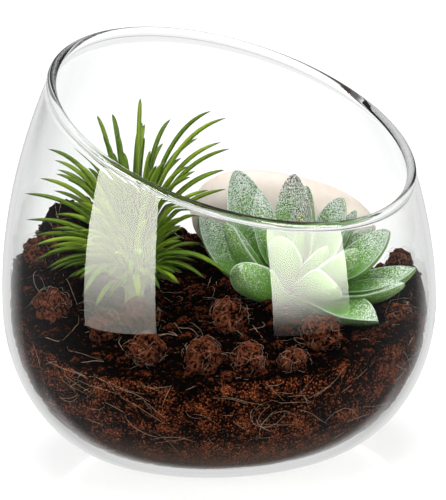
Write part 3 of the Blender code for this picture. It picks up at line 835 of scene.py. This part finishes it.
def fibres_piece(settings):
    """Pale fibres pressed against the glass and lying on top."""
    skin = Skin()
    draw = random.Random(FIBRE_SEED)
    for k in range(settings.wall_fibres):
        if k % 3:
            azimuth = math.radians(draw.uniform(-180, 180))
            z = draw.triangular(10, 46, 36) * MM
        else:
            knot, height = FIBRE_KNOTS[k // 3 % len(FIBRE_KNOTS)]
            azimuth = math.radians(knot + draw.gauss(0, 9))
            z = height + draw.gauss(0, 3.5) * MM
        path = wall_path(draw, azimuth, z, int(draw.triangular(4, 26, 7)))
        path = [point for point in path if LOWEST_FIBRE < point.z < bed_height(point.x, point.y)]
        lay_fibre(skin, draw, path, settings.fibre_radius, 0.35, 0.8)
    for _ in range(settings.top_fibres):
        reach = inner_radius(BED_LEVEL) * math.sqrt(draw.random()) * 0.96
        azimuth = draw.uniform(0, 2 * math.pi)
        x, y = reach * math.cos(azimuth), reach * math.sin(azimuth)
        path = top_path(draw, x, y, draw.randint(8, 24))
        lay_fibre(skin, draw, path, settings.fibre_radius, 0.5, 1.0)
    for x, y, z, size in LUMPS:
        for _ in range(FUZZ_HAIRS):
            add_fuzz(skin, draw, Vector((x, y, z)), size)
    return skin.piece("coir_fibres")


def add_fuzz(skin, draw, centre, size):
    """A short hair that curls over a lump."""
    direction = Vector((draw.gauss(0, 1), draw.gauss(0, 1), draw.gauss(0.3, 1))).normalized()
    turn = direction.orthogonal().normalized()
    turn.rotate(Matrix.Rotation(draw.uniform(0, 6.28), 3, direction))
    path = []
    for k in range(FUZZ_STEPS + 1):
        curl = FUZZ_LIFT * math.sin(k / FUZZ_STEPS * math.pi)
        height = size * 0.98 + draw.uniform(0.1, 0.5) * MM + curl
        path.append(centre + direction * height)
        direction = (direction + turn * (FUZZ_STEP / size)).normalized()
    thread(skin, path, FUZZ_RADIUS, (0.5 * draw.random(), 0.0, 0.0, 0.0))


def coir_finish(settings, name, brown):
    """Painted shade in the gaps, brown on the crumbs, pale specks that are partly painted highlight
    on the crests, painted shade on top and silt at the bottom.
    """
    finish = Shader(name, Roughness=1.0, Specular_IOR_Level=0.0)
    crest, height, wall, _ = finish.shades()
    grit = finish.noise(0.9 * MM, 5.0, 0.7)
    dust = finish.noise(0.32 * MM, 2.0, 0.6)
    patch = finish.noise(9 * MM, 3.0, 0.6)
    grains = finish.span(finish.cells(0.9 * MM), 0.7, 0.2, -0.15, 0.4)
    # Raised is how far the coir stands out; below, it becomes painted shade that is near black in the
    # gaps
    raised = finish.plus(crest, finish.span(grit, 0.32, 0.68, -0.3, 0.3))
    raised = finish.plus(raised, finish.times(wall, grains))
    # Painted shade: the top of the coir is made darker than its side against the glass
    raised = finish.plus(raised, finish.span(wall, 0.0, 1.0, -0.22, 0.0))
    body = finish.blend(finish.span(patch, 0.35, 0.65), brown, dimmed(brown, 0.6))
    shaded = finish.blend(finish.span(raised, 0.46, 0.95), settings.dark, body)
    # Pale specks, partly the coir's own and partly painted highlight, where the crumbs stand out
    speck = finish.times(finish.span(dust, 0.5, 0.7), finish.span(raised, 0.5, 0.95))
    speck = finish.times(speck, finish.span(wall, 0.0, 1.0, 0.5, 1.0))
    specked = finish.blend(speck, shaded, settings.speck_and_highlight)
    fine = finish.blend(finish.span(dust, 0.45, 0.66), dimmed(settings.silt, 0.1), settings.silt)
    low = finish.times(wall, finish.span(height, 0.5, 0.15))
    finish.set("Base Color", finish.blend(low, specked, fine))
    finish.bump(finish.plus(finish.times(grit, 0.8), dust), 0.8 * MM)
    return finish.material


class TERRARIUM_OT_coir(bpy.types.Operator):
    """Fill the bowl with crumbly coir, its lumps and its fibres"""

    bl_idname = "terrarium.coir"
    bl_label = "Coir"

    def execute(self, context):
        settings = context.scene.terrarium_coir
        # Without a seed, vector noise differs from run to run
        noise.seed_set(COIR_SEED)
        finish = coir_finish(settings, "coir", settings.brown)
        lump_finish = coir_finish(settings, "lump_coir", settings.lump)
        settle(bed_piece(), finish, "coir", "coir_bed")
        settle(crumbs_piece(settings), finish, "coir")
        for number, place in enumerate(LUMPS, 1):
            lump = lump_piece(number, place)
            settle(lump, lump_finish, "coir_lump", f"coir_lump_{number:02d}")
        settle(fibres_piece(settings), fibre_finish(settings), "coir")
        return {"FINISHED"}


def fibre_finish(settings):
    finish = Shader("fibre", Roughness=0.6)
    drawn = finish.shades()[0]
    finish.set("Base Color", finish.blend(drawn, dimmed(settings.fibre, 0.4), settings.fibre))
    return finish.material


class TERRARIUM_OT_pebble(bpy.types.Operator):
    """Lay the water-worn pebble against the back of the bowl"""

    bl_idname = "terrarium.pebble"
    bl_label = "Pebble"

    def execute(self, context):
        settings = context.scene.terrarium_pebble
        lean = Matrix.Rotation(PEBBLE_TILT, 3, "Y")
        skin = Skin()

        def shape(direction):
            spread = sum(abs(value) ** PEBBLE_SQUARENESS for value in direction)
            fuller = 1.0 - PEBBLE_NARROWING * direction.x
            wear = 1.0 + 0.012 * noise.noise(direction * 2.2) - 0.012
            size = wear / spread ** (1.0 / PEBBLE_SQUARENESS)
            point = Vector((direction.x, direction.y * fuller, direction.z * fuller)) * size
            return PEBBLE_CENTRE + lean @ (point * PEBBLE_HALF_SIZE), PLAIN

        skin.add_ball(unit_ball(6), shape)
        settle(skin.piece("worn_pebble"), pebble_finish(settings), "pebble", "river_pebble")
        return {"FINISHED"}


def pebble_finish(settings):
    finish = Shader("worn_stone", Roughness=0.55)
    clouds = finish.noise(11 * MM, 4.0, 0.55)
    grain = finish.noise(0.7 * MM, 3.0, 0.6)
    base = finish.blend(finish.span(clouds, 0.35, 0.7), settings.pale, settings.warm)
    fleck = finish.span(grain, 0.6, 0.85, 0.0, 0.5)
    finish.set("Base Color", finish.blend(fleck, base, dimmed(settings.warm, 0.8)))
    finish.bump(grain, 0.05 * MM)
    return finish.material


def arc_point(root, bend, tip, share):
    """A point of the arc from root to tip, pulled towards bend."""
    return root * (1 - share) ** 2 + bend * (2 * share * (1 - share)) + tip * share**2


def arc_frame(root, bend, tip, share):
    """Sideways and upwards at a point of the arc, and along it."""
    along = ((bend - root) * (1 - share) + (tip - bend) * share).normalized()
    side = Vector((0.0, 0.0, 1.0)).cross(tip - root).normalized()
    return side, along.cross(side).normalized(), along


def blade_arc(tip):
    """The root, bend and tip of a blade, from the tuft's foot: up first, then outwards."""
    outward = Vector((tip.x, tip.y, 0.0))
    reach = outward.length
    outward = outward / reach
    climb = BLADE_ROOT_HEIGHT + BLADE_ROOT_CLIMB * max(0.0, tip.z)
    root = outward * BLADE_ROOT * TUFT_STEM_RADIUS + Vector((0, 0, climb))
    rise = BLADE_BEND_UP * (tip.z - root.z) + BLADE_BEND_LIFT * reach
    rise = max(rise, BLADE_LEAST_BEND * reach)
    bend = root + outward * (BLADE_BEND_OUT * reach) + Vector((0, 0, rise))
    return root, bend, tip


def add_blade(skin, tip, width, tone):
    """A slim channelled blade of even width that tapers to its tip."""
    root, bend, tip = blade_arc(tip)
    rings, shades = [], []
    for k in range(BLADE_STEPS):
        share = k / BLADE_STEPS
        side, up, _ = arc_frame(root, bend, tip, share)
        centre = TUFT_FOOT + arc_point(root, bend, tip, share)
        taper = (1.0 - share**9) * (0.75 + 0.25 * smooth_step(share / 0.3))
        half, thick = side * (width / 2 * taper), up * (BLADE_THICKNESS * taper)
        rings.append([centre + half * u + thick * v for u, v in BLADE_SECTION])
        shades.append([(share, abs(u), tone, 0.0) for u, v in BLADE_SECTION])
    skin.loft(rings, shades, TUFT_FOOT + tip, (1.0, 0.0, tone, 0.0))


def in_the_open(point):
    """Whether a blade that ends here stays clear of the glass and of the coir."""
    if point.z < bed_height(point.x, point.y) + COIR_CLEARANCE:
        return False
    return math.hypot(point.x, point.y) < body_radius(point.z, WALL) - WALL_CLEARANCE


def fill_tips(blades):
    """The tips of the blades that fill the tuft, on a spiral from its rim to its crown."""
    draw = random.Random(FILL_SEED)
    for k in range(blades):
        share = (k + 0.5) / blades
        azimuth = k * GOLDEN_ANGLE
        wander = draw.uniform(-FILL_WANDER, FILL_WANDER)
        elevation = math.radians(FILL_LOWEST + FILL_SPREAD * share + wander)
        reach = draw.uniform(*FILL_REACH) * (1.0 + FILL_CROWN_GROWTH * share)
        if math.cos(azimuth) > math.cos(ROSETTE_SIDE) and share < ROSETTE_SIDE_TOP:
            reach *= ROSETTE_SIDE_REACH
        heading = Vector((math.cos(azimuth), math.sin(azimuth), 0.0)) * math.cos(elevation)
        heading.z = math.sin(elevation)
        tip = heading * reach + Vector((0, 0, FILL_HEIGHT))
        while not in_the_open(TUFT_FOOT + tip):
            tip *= TIP_STEP
        yield tip


def add_stem(skin, foot, radius, height, shade):
    """A knobbly stem that stands in the coir and tapers upwards."""
    rings = []
    for k in range(STEM_STEPS):
        z = -STEM_DEPTH + (height + STEM_DEPTH) * k / STEM_STEPS
        knob = 0.97 + 0.03 * math.cos(k * 2.4)
        taper = radius * (1 - STEM_NARROWING * k / STEM_STEPS) * knob
        corners = circle(STEM_SIDES)
        rings.append([foot + Vector((taper * u, taper * v, z)) for u, v in corners])
    shades = [[shade] * STEM_SIDES] * STEM_STEPS
    skin.loft(rings, shades, foot + Vector((0, 0, height)), shade)


class TERRARIUM_OT_grass(bpy.types.Operator):
    """Grow the grass tuft"""

    bl_idname = "terrarium.grass"
    bl_label = "Grass Tuft"

    def execute(self, context):
        settings = context.scene.terrarium_grass
        skin = Skin()
        add_stem(skin, TUFT_FOOT, TUFT_STEM_RADIUS, TUFT_STEM_HEIGHT, (0.1, 0.5, 0.5, 0.0))
        draw = random.Random(BLADE_SEED)
        tips = [Vector(tip) * MM for tip in BLADE_TIPS_MM] + list(fill_tips(settings.fill_blades))
        for tip in tips:
            add_blade(skin, tip, settings.width * draw.uniform(0.8, 1.15), draw.random())
        settle(skin.piece("grass_blades"), grass_finish(settings), "grass_green", "grass_tuft")
        return {"FINISHED"}


def grass_finish(settings):
    """Yellow-green roots, green blades, darker tips and paler edges."""
    finish = Shader("grass", Roughness=0.42, Specular_IOR_Level=0.14)
    along, edge, tone, _ = finish.shades()
    streak = finish.noise(1.6 * MM, 3.0, 0.6)
    green = finish.blend(finish.span(tone, 0.45, 1.0), settings.middle, settings.olive)
    green = finish.blend(finish.span(streak, 0.3, 0.75, 0.0, 0.45), green, settings.olive)
    rooted = finish.blend(finish.span(along, 0.0, 0.45), settings.root, green)
    tipped = finish.blend(finish.span(along, 0.86, 1.0), rooted, settings.tip)
    edged = finish.blend(finish.span(edge, 0.7, 1.0, 0.0, 0.35), tipped, settings.olive)
    finish.set("Base Color", edged)
    finish.bump(streak, 0.08 * MM)
    return finish.material


def leaf_arc(tip, climb):
    """The root, bend and tip of a leaf, from the succulent's foot: outwards first, then up."""
    outward = Vector((tip.x, tip.y, 0.0))
    reach = outward.length
    root = outward / reach * (LEAF_ROOT * ROSETTE_STEM_RADIUS)
    root.z = climb
    bend = root.lerp(tip, LEAF_BEND_OUT)
    bend.z = root.z + LEAF_BEND_UP * (tip.z - root.z) - LEAF_SAG * reach
    return root, bend, tip


def leaf_width(share, tip):
    """A leaf's width along its length, as a share of its most. Upright leaves are blunter."""
    if share < LEAF_WIDEST:
        return LEAF_BASE + (1.0 - LEAF_BASE) * smooth_step(share / LEAF_WIDEST)
    point = LOW_LEAF_POINT + (HIGH_LEAF_POINT - LOW_LEAF_POINT) * smooth_step(tip.z / HIGH_LEAF)
    return (1.0 - ((share - LEAF_WIDEST) / (1.0 - LEAF_WIDEST)) ** 2) ** point


def leaf_section():
    """Across a leaf, as shares of half its width and its depth: hollow above, keeled below."""
    for k, (across, _) in enumerate(circle(LEAF_SIDES)):
        if 0 < k < LEAF_SIDES / 2:
            yield across, 0.12 * across**2 * (1 - across**8), 1.0
        else:
            keel = 1.0 - 0.25 * abs(across)
            yield across, -keel * (1 - abs(across) ** 2.2), 0.0


def add_leaf(skin, place, climb, brown, seed):
    """A fleshy leaf like a narrow boat, whose rims stand higher than its middle."""
    x, y, z, width, roll = place
    root, bend, tip = leaf_arc(Vector((x, y, z)) * MM, climb)
    section = list(leaf_section())
    rings, shades = [], []
    for k in range(LEAF_STEPS):
        share = math.sin(k / LEAF_STEPS * math.pi / 2) ** 1.15
        side, up, along = arc_frame(root, bend, tip, share)
        turn = Matrix.Rotation(math.radians(roll) * smooth_step(share / LEAF_WIDEST), 3, along)
        side, up = turn @ side, turn @ up
        centre = ROSETTE_FOOT + arc_point(root, bend, tip, share)
        spread = leaf_width(share, tip)
        half = width * MM / 2 * spread
        deep = LEAF_END_THICKNESS + (1 - LEAF_END_THICKNESS) * spread
        deep *= LEAF_THICKNESS * width * MM
        ring = []
        for u, v, _ in section:
            wave = 1.0 + 0.05 * noise.noise(Vector((u * 1.2, share * 3.0, seed * 7.3)))
            lift = LEAF_FOLD * half * u * u + deep * v
            ring.append(centre + (side * (half * u) + up * lift) * wave)
        rings.append(ring)
        shades.append([(share, abs(u) ** 2, upper, brown) for u, _, upper in section])
    skin.loft(rings, shades, ROSETTE_FOOT + tip, (1.0, 1.0, 0.5, brown))


class TERRARIUM_OT_succulent(bpy.types.Operator):
    """Grow the frosted succulent"""

    bl_idname = "terrarium.succulent"
    bl_label = "Succulent"

    def execute(self, context):
        settings = context.scene.terrarium_succulent
        skin = Skin()
        add_stem(skin, ROSETTE_FOOT, ROSETTE_STEM_RADIUS, ROSETTE_STEM_HEIGHT, (-1.0, 0.0, 0.0, 0.0))
        for k, place in enumerate(LEAVES_MM):
            climb = LOWEST_LEAF + LEAF_CLIMB * k / (len(LEAVES_MM) - 1)
            add_leaf(skin, place, climb, 1.0 if k in BROWN_TIPPED else 0.0, k)
        leaves = skin.piece("frosted_leaves")
        settle(leaves, leaf_finish(settings), "leaf_green", "succulent_rosette")
        return {"FINISHED"}


def leaf_finish(settings):
    """Green at the base, with a white frosting in fine specks that thickens to tip and edge."""
    finish = Shader("frosted_leaf", Roughness=0.62, Specular_IOR_Level=0.12)
    along, edge, upper, brown = finish.shades()
    speck = finish.noise(0.38 * MM, 2.0, 0.6)
    cloud = finish.noise(4 * MM, 2.0, 0.5)
    mottle = finish.noise(1.1 * MM, 2.0, 0.6)
    green = finish.blend(finish.span(along, 0.3, 0.95), settings.green, settings.tip_green)
    green = finish.blend(finish.span(along, -0.5, 0.0), dimmed(settings.brown, 0.4), green)
    drift = finish.span(cloud, 0.4, 0.7, -0.12, 0.15)
    coat = finish.plus(finish.span(along, 0.4, 1.0), drift)
    coat = finish.times(coat, finish.span(upper, 0.0, 1.0, 0.45, 1.0))
    dark_speck = finish.times(coat, finish.span(speck, 0.5, 0.4))
    dotted = finish.blend(dark_speck, green, settings.speckle)
    dense = finish.plus(speck, finish.span(coat, 0.0, 1.0, -0.12, 0.05))
    white = finish.span(dense, 0.47, 0.55)
    white = finish.times(white, finish.span(coat, 0.0, 0.5, 0.3, 1.0))
    frosted = finish.blend(white, dotted, settings.frost)
    rim = finish.span(edge, 0.84, 0.97)
    rim = finish.times(rim, finish.span(along, 0.1, 0.6, 0.2, 0.8))
    rimmed = finish.blend(rim, frosted, settings.frost)
    browned = finish.times(brown, finish.span(along, 0.72, 1.0))
    browned = finish.times(browned, finish.span(speck, 0.56, 0.46))
    finish.set("Base Color", finish.blend(browned, rimmed, settings.brown))
    finish.bump(finish.plus(finish.times(mottle, 0.5), speck), 0.12 * MM)
    return finish.material


def area_light(name, place, target, width, height, power):
    """A rectangular light that stands at a place and is turned to a target."""
    light = bpy.data.lights.new(name, "AREA")
    light.shape = "RECTANGLE"
    light.size = width
    light.size_y = height
    light.energy = power
    made = add_object(name, light)
    made.visible_camera = False
    made.location = place
    made.rotation_euler = (Vector(target) - Vector(place)).to_track_quat("-Z", "Y").to_euler()
    return made


class Softbox(Nodes):
    """A tall panel that only the glass shows: dim at its foot, bright from part of the way up."""

    ramp = "SMOOTHSTEP"
    distance = 1.2
    top = 0.95

    def __init__(self, name, azimuth, half_angle, foot):
        heading = math.radians(azimuth - 90)
        middle = (foot + self.top) / 2
        place = (self.distance * math.cos(heading), self.distance * math.sin(heading), middle)
        width = 2 * self.distance * math.tan(math.radians(half_angle))
        self.panel = area_light(name, place, (0, 0, middle), width, self.top - foot, 0.0)
        self.panel.visible_diffuse = False
        self.panel.visible_transmission = False

    def shine(self, settings, power, foot_glow, fade_start, fade_end):
        """Lights the panel. The fade's ends are shares of its height."""
        light = self.panel.data
        light.energy = power * settings.softbox_power
        light.color = settings.softbox_colour
        light.use_nodes = True
        self.tree = light.node_tree
        face = self.node("NewGeometry").outputs["Parametric"]
        height = self.node("SeparateXYZ", {"Vector": face}).outputs["Y"]
        glow = self.span(height, fade_start, fade_end, foot_glow, 1.0)
        self.feed(self.tree.nodes["Emission"].inputs["Strength"], glow)


def lay_floor(settings):
    """A white light table: it glows, so the bowl's shadow on it stays faint."""
    mesh = bpy.data.meshes.new("floor")
    corners = [(-1, -1), (1, -1), (1, 1), (-1, 1)]
    mesh.from_pydata([(FLOOR_REACH * x, FLOOR_REACH * y, 0) for x, y in corners], [], [(0, 1, 2, 3)])
    floor = add_object("floor", mesh)
    floor.location.z = CAD_BOX[0][2] - FLOOR_DROP
    finish = Shader("light_table", Roughness=0.08, Specular_IOR_Level=0.3, Base_Color=settings.floor)
    finish.set("Emission Color", (1.0, 1.0, 1.0))
    away = finish.node("VectorMath", {0: finish.place(1.0)}, operation="LENGTH").outputs["Value"]
    glow = finish.span(away, 0.15, 0.4, settings.floor_glow, settings.floor_glow + 0.12)
    glow = finish.plus(glow, finish.span(away, 0.9, 2.5, 0.0, 0.4))
    finish.set("Emission Strength", glow)
    # What the glass reflects is the backdrop's part, so that the coir stays dark behind it
    finish.clear_for("Glossy Depth")
    mesh.materials.append(finish.material)
    floor.visible_diffuse = False


class Backdrop(Nodes):
    """The world's nodes, with how far a ray's direction leads to the back and upwards."""

    ramp = "SMOOTHSTEP"
    clamped = False

    def __init__(self, name):
        world = bpy.data.worlds.new(name)
        bpy.context.scene.world = world
        world.use_nodes = True
        self.tree = world.node_tree
        self.tree.nodes.clear()
        heading = self.node("TexCoord").outputs["Generated"]
        _, self.depthwise, self.climb = self.node("SeparateXYZ", {"Vector": heading}).outputs

    def glow(self, brightness):
        """A background of a plain brightness, or of one that an output gives."""
        if isinstance(brightness, float):
            brightness = [brightness] * 3
        return self.node("Background", {"Color": brightness}).outputs["Background"]


def hang_backdrop(settings):
    """White for the eye and through the glass. The glass reflects white from behind and from
    above, and a dark room from the front."""
    studio = Backdrop("studio")
    sweep = studio.span(studio.climb, 0.3, 0.75, 1.0, settings.ceiling)
    sides = studio.span(studio.depthwise, -0.6, 0.4, settings.room, settings.sides)
    behind = studio.span(studio.depthwise, 0.5, 0.96, settings.room, settings.backdrop)
    behind = studio.times(behind, studio.span(studio.climb, -0.02, 0.1, 1.0, 0.05))
    above = studio.span(studio.climb, 0.25, 0.8, settings.room, 0.6 * settings.backdrop)
    below = studio.span(studio.climb, -0.75, -0.35, settings.backdrop, settings.room)
    farther = studio.span(studio.depthwise, 0.45, 0.75, 0.0, 1.0)
    outside = studio.math("MAXIMUM", sides, studio.math("MINIMUM", below, farther))
    outside = studio.math("MAXIMUM", outside, studio.math("MAXIMUM", behind, above))
    path = studio.node("LightPath").outputs
    inside = studio.math("GREATER_THAN", path["Glossy Depth"], 1.5)
    reflected = studio.choose(inside, studio.glow(outside), studio.glow(settings.trapped))
    direct = studio.choose(path["Glossy Depth"], studio.glow(sweep), reflected)
    # Light on its way from a matt surface meets the fill, also where it leaves through the glass
    fill = studio.glow(studio.span(studio.climb, -0.7, 0.0, settings.bounce, settings.fill))
    seen = studio.choose(path["Diffuse Depth"], direct, fill)
    studio.node("OutputWorld", {"Surface": seen})


def set_camera(settings):
    """The photograph's view: a long lens, a little above the rim, leaning slightly."""
    camera = bpy.data.cameras.new("camera")
    camera.lens = settings.focal_length
    camera.clip_start = 0.01
    made = add_object("camera", camera)
    forward = Vector((0, math.cos(settings.camera_height), -math.sin(settings.camera_height)))
    stand = Matrix.Translation(CAMERA_TARGET - forward * settings.camera_distance)
    turn = forward.to_track_quat("-Z", "Y").to_matrix().to_4x4()
    made.matrix_world = stand @ turn @ Matrix.Rotation(settings.camera_roll, 4, "Z")
    bpy.context.scene.camera = made


class TERRARIUM_OT_stage(bpy.types.Operator):
    """Set the floor, the backdrop, the lights and the camera"""

    bl_idname = "terrarium.stage"
    bl_label = "Stage"

    def execute(self, context):
        settings = context.scene.terrarium_stage
        lay_floor(settings)
        hang_backdrop(settings)
        Softbox("softbox_left", -52.2, 20.1, -0.14).shine(settings, 1.35, 0.22, 0.03, 0.41)
        Softbox("softbox_right", 47.7, 21.3, -0.18).shine(settings, 1.65, 0.03, 0.02, 0.26)
        for name, place, power in (
            ("key_left", (-0.9, -1.1, 1.0), settings.key_power),
            ("key_right", (1.1, -0.9, 0.9), RIGHT_KEY_SHARE * settings.key_power),
            ("top_light", (0.0, 0.0, 1.5), settings.top_power),
        ):
            light = area_light(name, place, LAMP_TARGET, LAMP_SIZE, LAMP_SIZE, power)
            light.visible_glossy = False
            light.visible_transmission = False
        set_camera(settings)
        context.scene.view_settings.view_transform = "Standard"
        # Light runs far along the inside of a glass wall before it leaves
        cycles = context.scene.cycles
        cycles.max_bounces = cycles.glossy_bounces = cycles.transmission_bounces = LIGHT_BOUNCES
        return {"FINISHED"}


# By the settings' name on the scene, their class and the operator that reads them
PIECES = {
    "terrarium_bowl": (BowlSettings, TERRARIUM_OT_bowl),
    "terrarium_coir": (CoirSettings, TERRARIUM_OT_coir),
    "terrarium_pebble": (PebbleSettings, TERRARIUM_OT_pebble),
    "terrarium_grass": (GrassSettings, TERRARIUM_OT_grass),
    "terrarium_succulent": (SucculentSettings, TERRARIUM_OT_succulent),
    "terrarium_stage": (StageSettings, TERRARIUM_OT_stage),
}


class TERRARIUM_PT_panel(bpy.types.Panel):
    """Lists the terrarium's pieces"""

    bl_label = "Terrarium"
    bl_idname = "TERRARIUM_PT_panel"
    bl_space_type = "VIEW_3D"
    bl_region_type = "UI"
    bl_category = "Terrarium"

    def draw(self, context):
        for name, (_, operator) in PIECES.items():
            box = self.layout.box()
            box.operator(operator.bl_idname)
            settings = getattr(context.scene, name)
            for item in settings.__annotations__:
                box.prop(settings, item)


def register():
    for name, (settings, operator) in PIECES.items():
        bpy.utils.register_class(settings)
        bpy.utils.register_class(operator)
        setattr(bpy.types.Scene, name, PointerProperty(type=settings))
    bpy.utils.register_class(TERRARIUM_PT_panel)


def unregister():
    bpy.utils.unregister_class(TERRARIUM_PT_panel)
    for name, (settings, operator) in PIECES.items():
        delattr(bpy.types.Scene, name)
        bpy.utils.unregister_class(operator)
        bpy.utils.unregister_class(settings)


def main():
    register()
    bpy.ops.terrarium.bowl()
    bpy.ops.terrarium.coir()
    bpy.ops.terrarium.pebble()
    bpy.ops.terrarium.grass()
    bpy.ops.terrarium.succulent()
    bpy.ops.terrarium.stage()
    bpy.context.view_layer.update()


if __name__ == "__main__":
    main()
